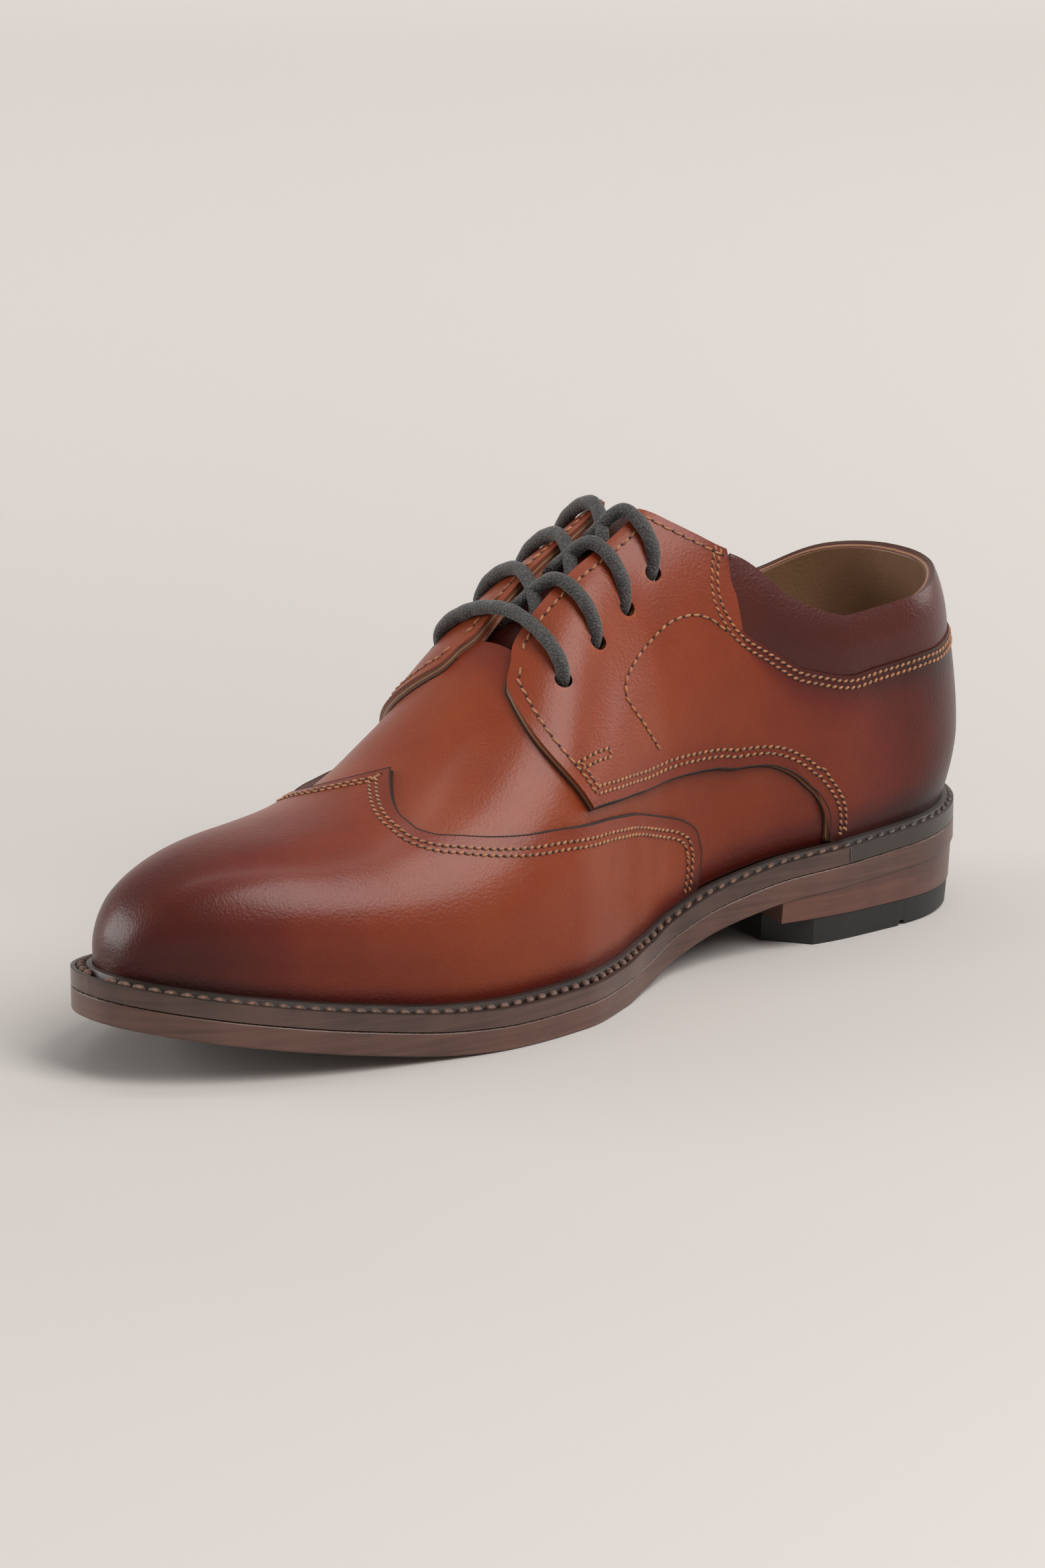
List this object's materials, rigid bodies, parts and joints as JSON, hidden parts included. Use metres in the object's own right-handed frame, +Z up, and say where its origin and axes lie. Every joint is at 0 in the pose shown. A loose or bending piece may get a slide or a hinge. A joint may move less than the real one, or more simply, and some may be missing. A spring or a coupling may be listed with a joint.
{
  "type": "brogue shoe",
  "caption": "Right leather lace-up shoe with a wing-shaped toe cap, storm welt, rubber outsole and stacked heel.",
  "frame": {"origin": "on the floor, under the middle of the length and width of the shoe", "axes": "+Z up, -Y towards the toe, +Y towards the heel, +X towards the inner side of this right shoe"},
  "size_m": [0.1119, 0.305, 0.1325],
  "materials": {
    "outsole_rubber": "matte, pebbled",
    "welt_leather": "dark, edge painted",
    "heel_leather": "edge painted",
    "top_piece_rubber": "matte, ribbed",
    "lining_leather": "plain",
    "tan_leather": "polished, burnished",
    "dark_leather": "polished",
    "waxed_cord": "waxed, woven"
  },
  "bodies": {
    "root": {"outsole": "outsole_rubber", "welt": "welt_leather", "heel_stack": "heel_leather", "heel_top_piece": "top_piece_rubber", "insole": "lining_leather", "upper": "tan_leather", "wing_cap": "tan_leather", "quarters": "tan_leather", "collar_panel": "dark_leather", "tongue": "dark_leather", "lace_bar": "waxed_cord", "lace_crossing_1": "waxed_cord", "lace_crossing_2": "waxed_cord", "lace_crossing_3": "waxed_cord"}
  },
  "joints": []
}
